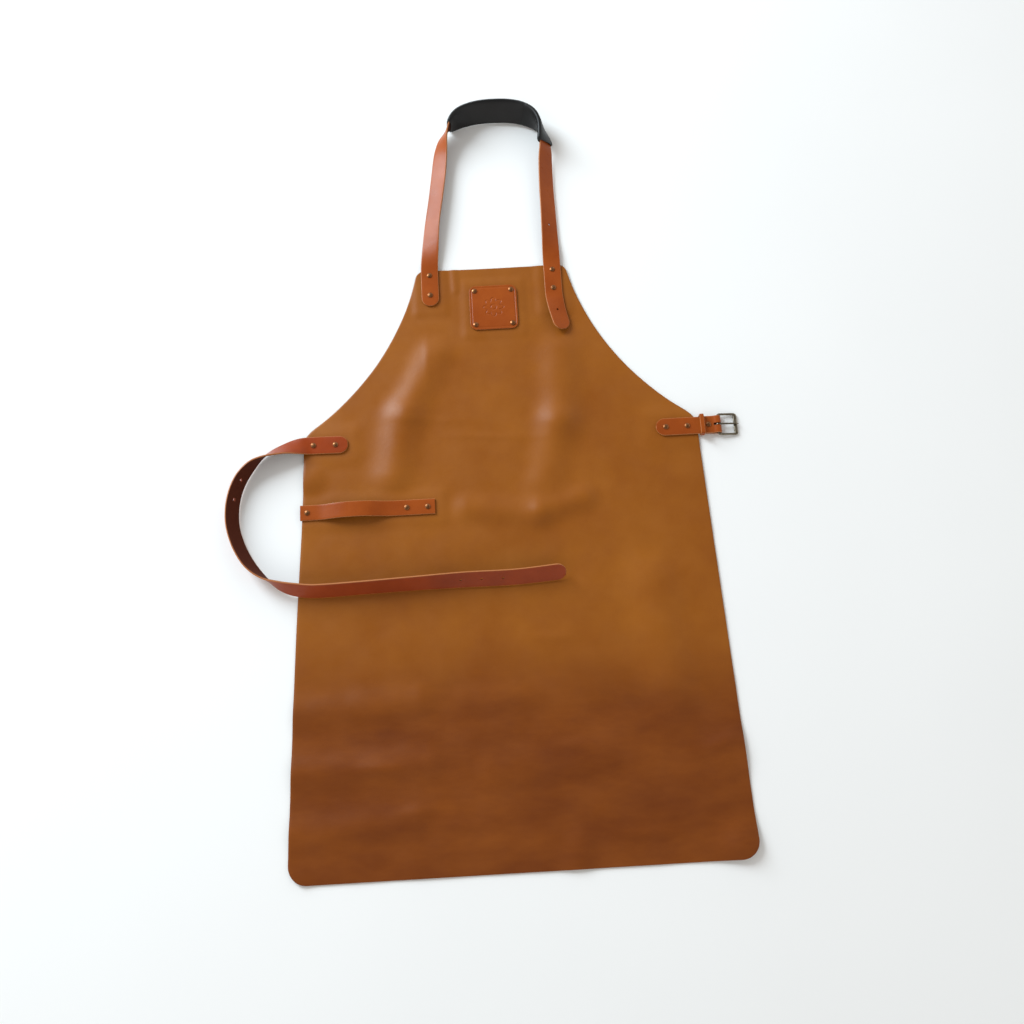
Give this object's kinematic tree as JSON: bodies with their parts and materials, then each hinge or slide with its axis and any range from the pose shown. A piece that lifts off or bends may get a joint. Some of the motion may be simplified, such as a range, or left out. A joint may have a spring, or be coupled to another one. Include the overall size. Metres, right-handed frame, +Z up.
{
  "type": "leather apron",
  "caption": "Tan leather bib apron lying flat, with a neck strap and black sleeve, a buckled waist strap, a tool loop and a riveted bib patch.",
  "frame": {"origin": "middle of the panel's back, on the surface that the apron lies on", "axes": "+Z up from that surface through the leather to its grain side, +Y from the hem to the bib, +X to the right of the bib as seen from above"},
  "size_m": [0.7222, 1.1227, 0.0369],
  "materials": {
    "panel_leather": "smooth oiled tan leather",
    "strap_leather": "smooth reddish tan strap leather with burnished edges",
    "black_leather": "smooth black leather",
    "buckle_metal": "antique nickel over brass",
    "rivet_metal": "antique brass"
  },
  "bodies": {
    "apron": {"apron_panel": "panel_leather", "patch": "strap_leather", "neck_strap": "strap_leather", "neck_sleeve": "black_leather", "waist_strap": "strap_leather", "tool_strap": "strap_leather", "buckle_strap": "strap_leather", "keeper": "strap_leather", "rivet_neck_left_upper": "rivet_metal", "rivet_neck_left_lower": "rivet_metal", "rivet_neck_right_upper": "rivet_metal", "rivet_neck_right_lower": "rivet_metal", "rivet_waist_outer": "rivet_metal", "rivet_waist_inner": "rivet_metal", "rivet_tool_outer": "rivet_metal", "rivet_tool_middle": "rivet_metal", "rivet_tool_inner": "rivet_metal", "rivet_buckle_inner": "rivet_metal", "rivet_buckle_middle": "rivet_metal", "rivet_buckle_lap": "rivet_metal", "rivet_patch_upper_left": "rivet_metal", "rivet_patch_lower_left": "rivet_metal", "rivet_patch_upper_right": "rivet_metal", "rivet_patch_lower_right": "rivet_metal"},
    "frame": {"buckle_frame": "buckle_metal"},
    "prong": {"buckle_prong": "buckle_metal"}
  },
  "joints": [
    {"name": "frame_swing", "type": "hinge", "parent": "apron", "child": "frame", "pos_m": [0.31, 0.1595, 0.0047], "axis": [0, -1, 0], "range_deg": [0, 45]},
    {"name": "prong_swing", "type": "hinge", "parent": "frame", "child": "prong", "pos_m": [0.31, 0.1595, 0.0047], "axis": [0, -1, 0], "range_deg": [0, 85]}
  ]
}
